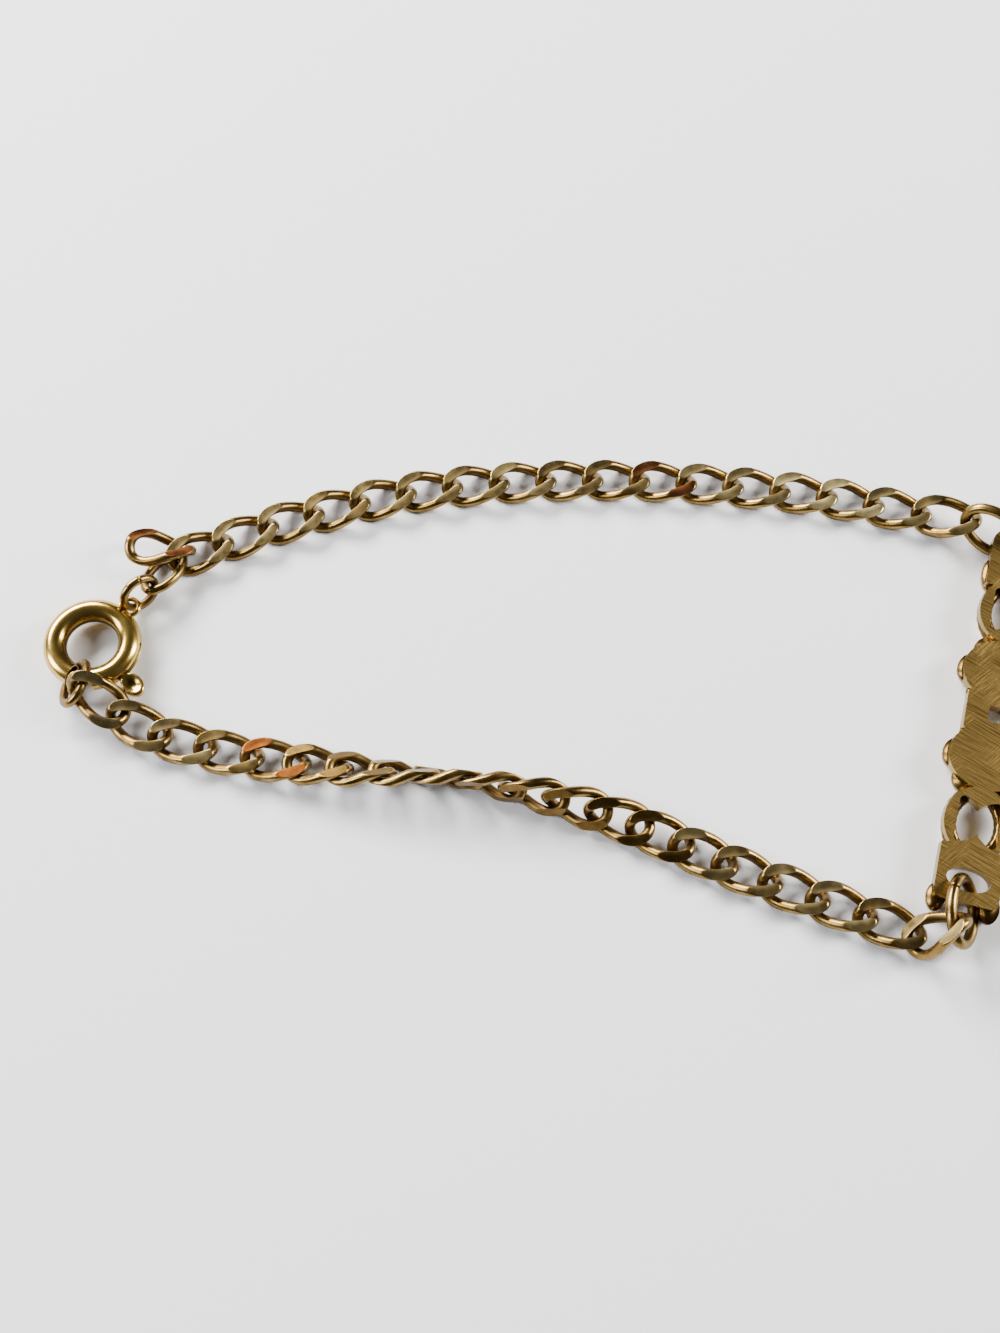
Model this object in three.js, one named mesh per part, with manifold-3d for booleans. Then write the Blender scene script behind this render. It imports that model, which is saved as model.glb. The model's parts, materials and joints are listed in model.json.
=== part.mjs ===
// Curb chain bracelet with a cast plaque and a spring ring clasp, closed and lying flat,
// the back of the plaque up.  Millimetres, +Z up, resting on z = 0.
// The origin is the bottom centre of the box around the whole bracelet.

import * as THREE from 'three';
import { mergeVertices } from 'three/addons/utils/BufferGeometryUtils.js';
import Module from 'manifold-3d';

const wasm = await Module();
wasm.setup();

// ---------------------------------------------------------------- driving dimensions

const CURB = { halfLength: 2.55, halfWidth: 1.4, twist: 0.65, wire: 0.42, halfThickness: 0.7 };
const LOOP_STEPS = 16;
const WIRE_SIDES = 6;

// Plain oval rings: half length and half width of the wire's centre line, wire radius.
const RINGS = {
  large: { halfLength: 2.6, halfWidth: 1.85, wire: 0.45 },
  small: { halfLength: 1.5, halfWidth: 1.4, wire: 0.36 },
  clasp: { halfLength: 2.2, halfWidth: 1.3, wire: 0.38 },
  end: { halfLength: 1.98, halfWidth: 1.45, wire: 0.37 },
};

// Spring ring: a hollow tube bent round, with a mouth that the gate rod closes.
const SPRING = { radius: 3.06, tube: 0.73, bore: 0.5, rod: 0.4, sides: 12, steps: 40 };
const MOUTH = { from: -118, to: -84 };
const BORE_DEPTH = { left: 10, right: 95 };
const ROD_OVERLAP = 5;
const LEVER = { at: -44.5, neckHalf: 0.22, from: 3.9, to: 6.2, halfWidth: 0.86, thick: 0.8 };
const SLOT = { from: -51, to: 1, half: 0.28, depth: 1.5 };
const EYELET = { at: 52, radius: 0.77, wire: 0.22, gap: 0.58 };
const CUT_HALF = 2;
const ARC_STEP = 9;
const BORE_SIDES = 8;

// Plaque: along its own X axis, across its own Y axis.
const PLAQUE = { x: 40.13, y: -4.94, heading: 74.9, back: 2.1, plate: 0.95 };
const ROSETTE = { at: 3.75, halfLength: 2.75, halfWidth: 3.2, eye: 1.2, petals: 6, petalRing: 2.05 };
const PETAL = { halfLength: 1.45, halfWidth: 0.95, height: 1.45 };
const STRIP = { at: 9.25, halfLength: 2.95, halfWidth: 2.7, rim: 0.62 };
const OPENING = { near: 7.35, far: 11.15, halfWidth: 1.68, nearTip: 0.7, farTip: 0.95, corner: 0.4 };
const CENTRE_HOLE = { halfLength: 0.68, halfWidth: 0.6 };
const BRIDGE = { halfLength: 1.7, halfWidth: 2.45, corner: 0.3 };
const PLAQUE_ENDS = [
  { side: -1, edge: 15.9, corner: 0.6, holeFrom: 13.05, holeTo: 14.95, leafAt: 15.75, leafHalf: 1.15 },
  { side: 1, edge: 16.8, corner: 1.4, holeFrom: 14.3, holeTo: 15.9, leafAt: 12.6, leafHalf: 1.5 },
];
const END = { start: 11.4, halfWidth: 2.55, holeHalf: 1.75 };
const LEAF = { across: 2.1, halfWidth: 0.6, height: 1.3 };
const DETAIL = 8;

// ---------------------------------------------------------------- how the chain lies

// Plan points of each half of the chain, from the clasp to the plaque.
const UPPER_ROUTE = [[-25.5, 10.1], [-18.3, 12.9], [-6.4, 15.9], [9.7, 16.9], [26.2, 15.6], [34.2, 14.1]];
const LOWER_ROUTE = [
  [-25.8, -6.9], [-21.8, -7.85], [-11.4, -9.4], [-1.6, -10.5], [8.9, -13.2], [19.5, -17.6], [30.4, -21.7],
];

// Runs of links along a route: the spacing of the links, and the roll (degrees) and lift
// that the run ends with; a run starts with the values that the one before it ended with.
const UPPER_RUNS = [
  { links: 1, spacing: 4.07, roll: 4, lift: 0.05 },
  { links: 3, spacing: 4.07, roll: 0, lift: 0 },
  { links: 12, spacing: 4.07, roll: 0, lift: 0 },
];
const LOWER_RUNS = [
  { links: 1, spacing: 4, roll: 6, lift: 0.05 },
  { links: 2, spacing: 4, roll: -8, lift: 0 },
  { links: 4, spacing: 3.62, roll: -77, lift: 0 },
  { links: 5, spacing: 3.62, roll: -163, lift: 0 },
  { links: 2, spacing: 3.8, roll: -180, lift: 0 },
  { links: 3, spacing: 4, roll: -180, lift: 0 },
];

// Loops that hang on the clasp or the plaque, set one by one. The columns are the name, the
// kind of loop, the centre's x, y and z, and the heading, pitch and roll in degrees.
const SET_PIECES = [
  ['lower_link_01', 'curb', -32.67, -3.53, 2.09, -36.6, -20.4, 19.7],
  ['lower_link_02', 'curb', -29.44, -5.58, 1.13, -25.8, -5.5, 13.0],
  ['lower_link_20', 'curb', 33.59, -22.57, 2.15, 16.4, 43.1, -31.2],
  ['upper_link_17', 'curb', 38.11, 13.06, 1.395, -14.8, 14.1, 10.7],
  ['tail_link', 'curb', -28.75, 10.06, 1.60, 0.3, -10.9, -24.4],
  ['clasp_link', 'clasp', -28.40, 8.02, 1.09, 61.4, -16.4, -20.3],
  ['small_jump_ring', 'small', -30.16, 5.93, 1.67, 44.0, 10.1, 74.4],
  ['end_ring', 'end', -34.80, -2.06, 1.60, 88.5, -19.8, -43.1],
  ['lower_jump_ring', 'large', 35.81, -20.82, 1.82, 79.1, -5.4, 47.8],
  ['upper_jump_ring', 'large', 41.72, 11.36, 2.13, -37.4, -7.8, 64.9],
];
const SPRING_POSE = { x: -33.72, y: 1.4, z: 1.45, heading: 0, pitch: -2.5, roll: -2.3 };

// ---------------------------------------------------------------- materials

const finish = (color, roughness) => new THREE.MeshStandardMaterial({ color, roughness, metalness: 1 });
const aged = () => finish(0x8a6a32, 0.38);
const bright = () => finish(0xb8923f, 0.25);
const brushed = () => finish(0xa8873f, 0.45);

// ---------------------------------------------------------------- small helpers

const rad = THREE.MathUtils.degToRad;

// A closed geometry as a solid, and a solid as a geometry.
function toSolid(geometry) {
  const bare = geometry.clone();
  for (const name of Object.keys(bare.attributes)) if (name !== 'position') bare.deleteAttribute(name);
  const merged = mergeVertices(bare, 1e-4);
  const mesh = new wasm.Mesh({
    numProp: 3,
    vertProperties: new Float32Array(merged.attributes.position.array),
    triVerts: new Uint32Array(merged.index.array),
  });
  return new wasm.Manifold(mesh);
}

function toGeometry(solid) {
  const mesh = solid.getMesh();
  const geometry = new THREE.BufferGeometry();
  geometry.setAttribute('position', new THREE.BufferAttribute(new Float32Array(mesh.vertProperties), 3));
  geometry.setIndex(new THREE.BufferAttribute(new Uint32Array(mesh.triVerts), 1));
  return geometry;
}

const join = (solids) => solids.reduce((all, next) => all.add(next));

// Turns a piece: rolled about its long axis, its front end raised, then headed in plan.
function pose(object, { x, y, z, heading, pitch, roll }) {
  object.position.set(x, y, z);
  object.rotation.set(rad(roll), -rad(pitch), rad(heading), 'ZYX');
}

function lowestPoint(mesh) {
  mesh.updateMatrixWorld(true);
  return new THREE.Box3().setFromObject(mesh, true).min.z;
}

// ---------------------------------------------------------------- loops of wire

// An oval whose wire also rises and falls twice on the way round: the twist that lets
// curb links lie flat. Without the twist it is a plain jump ring.
class LoopCurve extends THREE.Curve {
  constructor({ halfLength, halfWidth, twist = 0 }) {
    super();
    Object.assign(this, { halfLength, halfWidth, twist });
  }

  getPoint(t, target = new THREE.Vector3()) {
    const angle = 2 * Math.PI * t;
    return target.set(
      this.halfLength * Math.cos(angle),
      this.halfWidth * Math.sin(angle),
      -this.twist * Math.sin(2 * angle),
    );
  }

  // Equal steps of the angle keep the loop's two axes of symmetry.
  getPointAt(t, target) {
    return this.getPoint(t, target);
  }

  getTangentAt(t, target) {
    return this.getTangent(t, target);
  }
}

function loopGeometry(size) {
  const curve = new LoopCurve(size);
  const geometry = new THREE.TubeGeometry(curve, LOOP_STEPS, size.wire, WIRE_SIDES, true);
  // A curb link is filed flat on both faces.
  if (size.halfThickness) {
    const position = geometry.attributes.position;
    for (let i = 0; i < position.count; i += 1) {
      position.setZ(i, THREE.MathUtils.clamp(position.getZ(i), -size.halfThickness, size.halfThickness));
    }
  }
  return geometry;
}

function loop(name, kind) {
  const mesh = new THREE.Mesh(loopGeometry(kind === 'curb' ? CURB : RINGS[kind]), aged());
  mesh.name = name;
  return mesh;
}

// ---------------------------------------------------------------- chain along a route

// One row for each link of the runs: how far along the route it lies, its roll and lift.
function linkRows(runs) {
  const rows = [];
  let along = 0;
  let { roll, lift } = runs[0];
  for (const run of runs) {
    for (let i = 1; i <= run.links; i += 1) {
      const share = i / run.links;
      if (rows.length > 0) along += run.spacing;
      rows.push({
        along,
        roll: THREE.MathUtils.lerp(roll, run.roll, share),
        lift: THREE.MathUtils.lerp(lift, run.lift, share),
      });
    }
    ({ roll, lift } = run);
  }
  return rows;
}

// The links of one run of chain, each headed along the route and let down to its lift. Then
// each tips to follow the heights of the links beside it.
function chain(prefix, firstNumber, route, runs) {
  const points = route.map(([x, y]) => new THREE.Vector3(x, y, 0));
  const path = new THREE.CatmullRomCurve3(points, false, 'centripetal');
  const rows = linkRows(runs);
  const full = rows.at(-1).along;
  const place = (mesh, row, pitch) => {
    const centre = path.getPointAt(row.along / full);
    const tangent = path.getTangentAt(row.along / full);
    const heading = THREE.MathUtils.radToDeg(Math.atan2(tangent.y, tangent.x));
    pose(mesh, { x: centre.x, y: centre.y, z: 0, heading, pitch, roll: row.roll });
    mesh.position.z = row.lift - lowestPoint(mesh);
    return mesh;
  };
  const links = rows.map((row, i) => {
    const number = String(firstNumber + i).padStart(2, '0');
    return place(loop(`${prefix}_link_${number}`, 'curb'), row, 0);
  });
  const heights = links.map((link) => link.position.z);
  return links.map((link, i) => {
    const before = Math.max(i - 1, 0);
    const after = Math.min(i + 1, links.length - 1);
    const slope = Math.atan2(heights[after] - heights[before], rows[after].along - rows[before].along);
    return place(link, rows[i], THREE.MathUtils.radToDeg(slope));
  });
}

// ---------------------------------------------------------------- spring ring clasp

class ArcCurve extends THREE.Curve {
  constructor(radius, fromDegrees, toDegrees) {
    super();
    Object.assign(this, { radius, from: rad(fromDegrees), to: rad(toDegrees) });
  }

  getPoint(t, target = new THREE.Vector3()) {
    const angle = THREE.MathUtils.lerp(this.from, this.to, t);
    return target.set(this.radius * Math.cos(angle), this.radius * Math.sin(angle), 0);
  }
}

function circleShape(radius, sides) {
  const points = Array.from({ length: sides }, (_, i) => {
    const angle = (2 * Math.PI * (i + 0.5)) / sides;
    return new THREE.Vector2(radius * Math.cos(angle), radius * Math.sin(angle));
  });
  return new THREE.Shape(points);
}

function ellipseShape(x, halfLength, halfWidth) {
  const shape = new THREE.Shape();
  shape.absellipse(x, 0, halfLength, halfWidth, 0, 2 * Math.PI);
  return shape;
}

function rectangleShape(halfX, halfY) {
  const corners = [[-halfX, -halfY], [halfX, -halfY], [halfX, halfY], [-halfX, halfY]];
  return new THREE.Shape(corners.map(([x, y]) => new THREE.Vector2(x, y)));
}

// A section carried along an arc in the plane of the ring; the section's first axis is
// across the plane, its second is radial.
function arcSolid(shape, radius, from, to) {
  const steps = Math.max(2, Math.round((to - from) / ARC_STEP));
  return toSolid(new THREE.ExtrudeGeometry(shape, { steps, extrudePath: new ArcCurve(radius, from, to) }));
}

function boxSolid(fromX, toX, halfY, halfZ) {
  const box = new THREE.BoxGeometry(toX - fromX, 2 * halfY, 2 * halfZ);
  return toSolid(box.translate((fromX + toX) / 2, 0, 0));
}

function springRing() {
  const { radius, tube, bore, sides, steps } = SPRING;
  const ring = toSolid(new THREE.TorusGeometry(radius, tube, sides, steps));
  const mouth = arcSolid(rectangleShape(CUT_HALF, CUT_HALF), radius, MOUTH.from, MOUTH.to);
  const boreFrom = MOUTH.from - BORE_DEPTH.left;
  const boreTo = MOUTH.to + BORE_DEPTH.right;
  const hollow = arcSolid(circleShape(bore, BORE_SIDES), radius, boreFrom, boreTo);
  const slotShape = rectangleShape(SLOT.half, SLOT.depth);
  const slot = arcSolid(slotShape, radius + SLOT.depth, SLOT.from, SLOT.to);
  const eyelet = new THREE.TorusGeometry(EYELET.radius, EYELET.wire, BORE_SIDES, LOOP_STEPS);
  eyelet.translate(radius + tube + EYELET.gap, 0, 0).rotateZ(rad(EYELET.at));
  const shell = ring.subtract(mouth).subtract(hollow).subtract(slot);
  const mesh = new THREE.Mesh(toGeometry(shell.add(toSolid(eyelet))), bright());
  mesh.name = 'spring_ring';
  return mesh;
}

// The rod that closes the mouth, with the thumb lever that stands out through the slot.
function gateLever() {
  const rodFrom = MOUTH.from - ROD_OVERLAP;
  const rodTo = LEVER.at + ROD_OVERLAP;
  const rod = arcSolid(circleShape(SPRING.rod, BORE_SIDES), SPRING.radius, rodFrom, rodTo);
  const middle = (LEVER.from + LEVER.to) / 2;
  const outline = ellipseShape(middle, LEVER.to - middle, LEVER.halfWidth);
  const tab = new THREE.ExtrudeGeometry(outline, {
    depth: LEVER.thick, bevelEnabled: false, curveSegments: 2 * DETAIL,
  });
  tab.translate(0, 0, -LEVER.thick / 2);
  const neck = boxSolid(SPRING.radius, middle, LEVER.neckHalf, LEVER.neckHalf);
  const lever = join([toSolid(tab), neck]).rotate([0, 0, LEVER.at]);
  const mesh = new THREE.Mesh(toGeometry(rod.add(lever)), bright());
  mesh.name = 'gate_lever';
  return mesh;
}

// ---------------------------------------------------------------- cast plaque

// A plate cut to an outline, its top face on the plaque's back.
function plate(shape) {
  const geometry = new THREE.ExtrudeGeometry(shape, {
    depth: PLAQUE.plate, bevelEnabled: false, curveSegments: 2 * DETAIL,
  });
  return toSolid(geometry.translate(0, 0, PLAQUE.back - PLAQUE.plate));
}

// A cutter that passes right through the plaque.
function cutter(shape) {
  const depth = 2 * PLAQUE.back;
  const geometry = new THREE.ExtrudeGeometry(shape, { depth, bevelEnabled: false, curveSegments: DETAIL });
  return toSolid(geometry.translate(0, 0, -PLAQUE.back / 2));
}

function roundedBox(from, to, halfWidth, corner) {
  const shape = new THREE.Shape();
  shape.moveTo(from, -halfWidth);
  shape.lineTo(to - corner, -halfWidth);
  shape.quadraticCurveTo(to, -halfWidth, to, corner - halfWidth);
  shape.lineTo(to, halfWidth - corner);
  shape.quadraticCurveTo(to, halfWidth, to - corner, halfWidth);
  shape.lineTo(from, halfWidth);
  shape.closePath();
  return shape;
}

// The pierced opening: straight sides, and a pointed tip from each end on the axis.
function openingShape() {
  const { near, far, halfWidth, nearTip, farTip, corner } = OPENING;
  const shape = new THREE.Shape();
  shape.moveTo(near + corner, halfWidth);
  shape.quadraticCurveTo(near, halfWidth, near, halfWidth - corner);
  shape.quadraticCurveTo(near + nearTip / 4, halfWidth / 3, near + nearTip, 0);
  shape.quadraticCurveTo(near + nearTip / 4, -halfWidth / 3, near, corner - halfWidth);
  shape.quadraticCurveTo(near, -halfWidth, near + corner, -halfWidth);
  shape.lineTo(far - corner, -halfWidth);
  shape.quadraticCurveTo(far, -halfWidth, far, corner - halfWidth);
  shape.quadraticCurveTo(far - farTip / 4, -halfWidth / 3, far - farTip, 0);
  shape.quadraticCurveTo(far - farTip / 4, halfWidth / 3, far, halfWidth - corner);
  shape.quadraticCurveTo(far, halfWidth, far - corner, halfWidth);
  return shape;
}

// A domed pad on the front, centred at the level where front and plate meet.
function pad(x, y, halfLength, halfWidth, height, turn = 0) {
  const geometry = new THREE.SphereGeometry(1, DETAIL, DETAIL - 2);
  geometry.rotateX(Math.PI / 2).scale(halfLength, halfWidth, height).rotateZ(turn);
  return toSolid(geometry.translate(x, y, PLAQUE.back - PLAQUE.plate));
}

function rosette() {
  const pads = [pad(ROSETTE.at, 0, ROSETTE.eye, ROSETTE.eye, PETAL.height)];
  for (let i = 0; i < ROSETTE.petals; i += 1) {
    const turn = (2 * Math.PI * (i + 0.5)) / ROSETTE.petals;
    const x = ROSETTE.at + ROSETTE.petalRing * Math.cos(turn);
    const y = ROSETTE.petalRing * Math.sin(turn);
    pads.push(pad(x, y, PETAL.halfLength, PETAL.halfWidth, PETAL.height, turn));
  }
  return join(pads);
}

// A raised rim round a pierced opening.
function rim() {
  const halfLength = STRIP.halfLength - STRIP.rim / 2;
  const curve = new LoopCurve({ halfLength, halfWidth: STRIP.halfWidth - STRIP.rim });
  const tube = new THREE.TubeGeometry(curve, 2 * DETAIL, STRIP.rim, WIRE_SIDES, true);
  return toSolid(tube.translate(STRIP.at, 0, PLAQUE.back - PLAQUE.plate));
}

// One half of the plaque, out to its end on the +X side.
function plaqueHalf(end, frontSpace) {
  const back = join([
    plate(ellipseShape(ROSETTE.at, ROSETTE.halfLength, ROSETTE.halfWidth)),
    plate(ellipseShape(STRIP.at, STRIP.halfLength, STRIP.halfWidth)),
    plate(roundedBox(END.start, end.edge, END.halfWidth, end.corner)),
    plate(roundedBox(0, BRIDGE.halfLength, BRIDGE.halfWidth, BRIDGE.corner)),
  ]);
  const front = join([
    rosette(),
    rim(),
    pad(end.leafAt, LEAF.across, end.leafHalf, LEAF.halfWidth, LEAF.height),
    pad(end.leafAt, -LEAF.across, end.leafHalf, LEAF.halfWidth, LEAF.height),
  ]).intersect(frontSpace);
  const holeMiddle = (end.holeFrom + end.holeTo) / 2;
  const hole = ellipseShape(holeMiddle, end.holeTo - holeMiddle, END.holeHalf);
  return back.add(front).subtract(cutter(openingShape())).subtract(cutter(hole));
}

function plaque() {
  // The front is worn flat where it rests, and its relief reaches halfway into the plate.
  const frontHalf = (PLAQUE.back - PLAQUE.plate / 2) / 2;
  const reach = Math.max(...PLAQUE_ENDS.map((end) => end.edge));
  const frontSpace = boxSolid(0, reach, reach, frontHalf).translate([0, 0, frontHalf]);
  const halves = PLAQUE_ENDS.map(
    (end) => plaqueHalf(end, frontSpace).rotate([0, 0, end.side > 0 ? 0 : 180]),
  );
  const centreHole = cutter(rectangleShape(CENTRE_HOLE.halfLength, CENTRE_HOLE.halfWidth));
  const mesh = new THREE.Mesh(toGeometry(join(halves).subtract(centreHole)), brushed());
  mesh.name = 'plaque';
  mesh.position.set(PLAQUE.x, PLAQUE.y, 0);
  mesh.rotation.z = rad(PLAQUE.heading);
  return mesh;
}

// ---------------------------------------------------------------- the bracelet

const bracelet = new THREE.Group();
bracelet.add(plaque());

const clasp = new THREE.Group();
clasp.add(springRing(), gateLever());
pose(clasp, SPRING_POSE);
bracelet.add(clasp);

for (const [name, kind, x, y, z, heading, pitch, roll] of SET_PIECES) {
  const mesh = loop(name, kind);
  pose(mesh, { x, y, z, heading, pitch, roll });
  bracelet.add(mesh);
}
bracelet.add(...chain('upper', 1, UPPER_ROUTE, UPPER_RUNS));
bracelet.add(...chain('lower', 3, LOWER_ROUTE, LOWER_RUNS));

// The bottom centre of the box around the bracelet becomes the origin.
bracelet.updateMatrixWorld(true);
const box = new THREE.Box3().setFromObject(bracelet, true);
const middle = box.getCenter(new THREE.Vector3());
bracelet.position.set(-middle.x, -middle.y, -box.min.z);

export default bracelet;
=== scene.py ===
# Curb chain bracelet, closed and lying on its face: a chain of filed links, a spring ring clasp
# and a cast, pierced plaque whose brushed back is up. Blender's units are metres; the sizes of
# the pieces are given in mm.

import json
import math

import bpy
import numpy as np
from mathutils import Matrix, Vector
from mathutils.geometry import tessellate_polygon


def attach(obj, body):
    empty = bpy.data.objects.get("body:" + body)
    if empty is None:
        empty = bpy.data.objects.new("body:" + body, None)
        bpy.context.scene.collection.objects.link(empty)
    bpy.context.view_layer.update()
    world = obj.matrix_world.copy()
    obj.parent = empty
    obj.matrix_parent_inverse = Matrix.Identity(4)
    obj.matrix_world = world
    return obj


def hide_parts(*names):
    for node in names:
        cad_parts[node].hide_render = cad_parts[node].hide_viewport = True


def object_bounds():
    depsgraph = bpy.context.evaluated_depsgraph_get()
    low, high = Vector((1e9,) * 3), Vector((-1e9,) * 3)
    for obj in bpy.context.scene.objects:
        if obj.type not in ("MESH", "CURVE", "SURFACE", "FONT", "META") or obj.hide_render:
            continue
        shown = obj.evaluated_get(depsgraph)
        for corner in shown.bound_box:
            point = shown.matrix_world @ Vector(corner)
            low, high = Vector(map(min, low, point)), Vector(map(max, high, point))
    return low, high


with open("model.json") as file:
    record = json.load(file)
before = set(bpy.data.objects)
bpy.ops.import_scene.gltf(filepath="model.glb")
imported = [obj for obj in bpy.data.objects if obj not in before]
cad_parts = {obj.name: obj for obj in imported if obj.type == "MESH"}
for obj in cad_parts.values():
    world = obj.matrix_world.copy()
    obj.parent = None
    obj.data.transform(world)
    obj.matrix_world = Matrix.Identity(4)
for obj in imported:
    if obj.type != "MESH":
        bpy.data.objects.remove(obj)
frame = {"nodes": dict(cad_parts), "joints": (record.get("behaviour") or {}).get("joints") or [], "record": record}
cad_low, cad_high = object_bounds()
MM = 0.001

# ---------------------------------------------------------------- camera
# It stands over the bracelet, tipped twenty degrees from straight down. It aims a little to
# the clasp's side of the middle, so the plaque runs out of the view on the right.

AIM_FROM_MIDDLE = (-4.6 * MM, 2.9 * MM)
CAMERA_DISTANCE = 125 * MM
CAMERA_ELEVATION = math.radians(70)
LENS = 40.5
NEAREST, FARTHEST = 1 * MM, 10

middle = (cad_low + cad_high) / 2
aim = Vector((middle.x + AIM_FROM_MIDDLE[0], middle.y + AIM_FROM_MIDDLE[1], 0))
back = Vector((0, -math.cos(CAMERA_ELEVATION), math.sin(CAMERA_ELEVATION)))
camera_data = bpy.data.cameras.new("camera")
camera_data.lens = LENS
camera_data.clip_start = NEAREST
camera_data.clip_end = FARTHEST
camera = bpy.data.objects.new("camera", camera_data)
camera.location = aim + back * CAMERA_DISTANCE
camera.rotation_euler = (-back).to_track_quat("-Z", "Y").to_euler()
bpy.context.scene.collection.objects.link(camera)
bpy.context.scene.camera = camera

# ---------------------------------------------------------------- studio
# A pale floor under a dark grey studio, with one broad light on the far side, beyond the
# clasp's end of the bracelet, a narrower one at the right and a weak one at the left.

FLOOR_HALF = 0.6
FLOOR_DROP = 0.01 * MM
FLOOR_COLOUR = (0.80, 0.80, 0.81, 1)
FLOOR_ROUGHNESS = 0.8
FLOOR_SPECULAR = 0.2
STUDIO_GREY = (0.105, 0.105, 0.11, 1)
STUDIO_STRENGTH = 1.0
SOFT_LIGHTS = [
    # name, place (m), width (m), depth (m), power (W), colour
    ("far_light", (-0.27, 0.335, 0.26), 0.36, 0.16, 10.0, (1.0, 0.98, 0.95)),
    ("right_light", (0.40, 0.10, 0.22), 0.12, 0.24, 4.0, (1.0, 0.98, 0.95)),
    ("left_light", (-0.38, -0.02, 0.22), 0.12, 0.24, 2.2, (0.95, 0.97, 1.0)),
]


class Finish:
    """A material, and the few kinds of node that the looks here are made of. Most methods add
    a node and return what comes out of it, and drive and bump join a value to the shader."""

    def __init__(self, name, metal=True):
        self.material = bpy.data.materials.new(name)
        self.material.use_nodes = True
        self.nodes = self.material.node_tree.nodes
        self.links = self.material.node_tree.links
        self.shader = self.nodes["Principled BSDF"]
        if metal:
            self.shader.inputs["Metallic"].default_value = 1
            self.place = self.nodes.new("ShaderNodeTexCoord").outputs["Object"]

    def drive(self, socket, value):
        """Joins a value to one of the shader's sockets."""
        self.links.new(value, self.shader.inputs[socket])

    def noise(self, scale, detail, where=None, distortion=0):
        """Cloudy noise with so many waves to the metre, or to a unit of the place it is given."""
        node = self.nodes.new("ShaderNodeTexNoise")
        node.inputs["Scale"].default_value = scale
        node.inputs["Detail"].default_value = detail
        node.inputs["Distortion"].default_value = distortion
        self.links.new(where or self.place, node.inputs["Vector"])
        return node.outputs["Fac"]

    def read(self, name):
        """The number that each point of the piece carries under this name."""
        node = self.nodes.new("ShaderNodeAttribute")
        node.attribute_name = name
        return node.outputs["Fac"]

    def ramp(self, value, low, high, start=0.3, end=0.7):
        """One colour up to the start, another from the end on, and a blend between them."""
        node = self.nodes.new("ShaderNodeValToRGB")
        for element, position, colour in zip(node.color_ramp.elements, (start, end), (low, high)):
            element.position = position
            element.color = (*colour, 1)
        self.links.new(value, node.inputs["Fac"])
        return node.outputs["Color"]

    def stretch(self, value, low, high, start=0, end=1):
        """A number that goes from low to high as the value goes from the start to the end."""
        node = self.nodes.new("ShaderNodeMapRange")
        node.inputs["From Min"].default_value = start
        node.inputs["From Max"].default_value = end
        node.inputs["To Min"].default_value = low
        node.inputs["To Max"].default_value = high
        self.links.new(value, node.inputs["Value"])
        return node.outputs["Result"]

    def mix(self, share, first, second, kind="RGBA"):
        """A blend of two, with this share of the second, which may be one plain colour."""
        node = self.nodes.new("ShaderNodeMix")
        node.data_type = kind
        self.links.new(share, node.inputs["Factor"])
        self.links.new(first, node.inputs["A"])
        if isinstance(second, tuple):
            node.inputs["B"].default_value = (*second, 1)
        else:
            self.links.new(second, node.inputs["B"])
        return node.outputs["Result"]

    def bump(self, height, strength, distance):
        """Raises the surface a little where the height is great; the distance is in mm."""
        node = self.nodes.new("ShaderNodeBump")
        node.inputs["Strength"].default_value = strength
        node.inputs["Distance"].default_value = distance * MM
        self.links.new(height, node.inputs["Height"])
        self.drive("Normal", node.outputs["Normal"])


floor_mesh = bpy.data.meshes.new("floor")
corners = np.array([(-1, -1, 0), (1, -1, 0), (1, 1, 0), (-1, 1, 0)]) * FLOOR_HALF
floor_mesh.from_pydata((corners - (0, 0, FLOOR_DROP)).tolist(), [], [(0, 1, 2, 3)])
floor = bpy.data.objects.new("floor", floor_mesh)
bpy.context.scene.collection.objects.link(floor)
paper = Finish("floor_paper", metal=False)
paper.shader.inputs["Base Color"].default_value = FLOOR_COLOUR
paper.shader.inputs["Roughness"].default_value = FLOOR_ROUGHNESS
paper.shader.inputs["Specular IOR Level"].default_value = FLOOR_SPECULAR
floor_mesh.materials.append(paper.material)

world = bpy.data.worlds.new("studio")
world.use_nodes = True
world.node_tree.nodes["Background"].inputs["Color"].default_value = STUDIO_GREY
world.node_tree.nodes["Background"].inputs["Strength"].default_value = STUDIO_STRENGTH
bpy.context.scene.world = world

for name, place, width, depth, power, colour in SOFT_LIGHTS:
    light = bpy.data.lights.new(name, "AREA")
    light.shape = "RECTANGLE"
    light.size = width
    light.size_y = depth
    light.energy = power
    light.color = colour
    lamp = bpy.data.objects.new(name, light)
    lamp.location = place
    lamp.rotation_euler = (-Vector(place)).to_track_quat("-Z", "Y").to_euler()
    bpy.context.scene.collection.objects.link(lamp)

# ---------------------------------------------------------------- curb links
# A link is an oval of round brass wire, twisted and soldered shut, so that a row of them lies
# flat. The finished chain is filed on both faces and gold plated, and has aged to brown. Painted
# shade makes the crevices between links the darkest and, with tarnish, darkens the sides that
# face into a link; the filed flats of some links carry painted highlight, of others painted shade.

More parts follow.
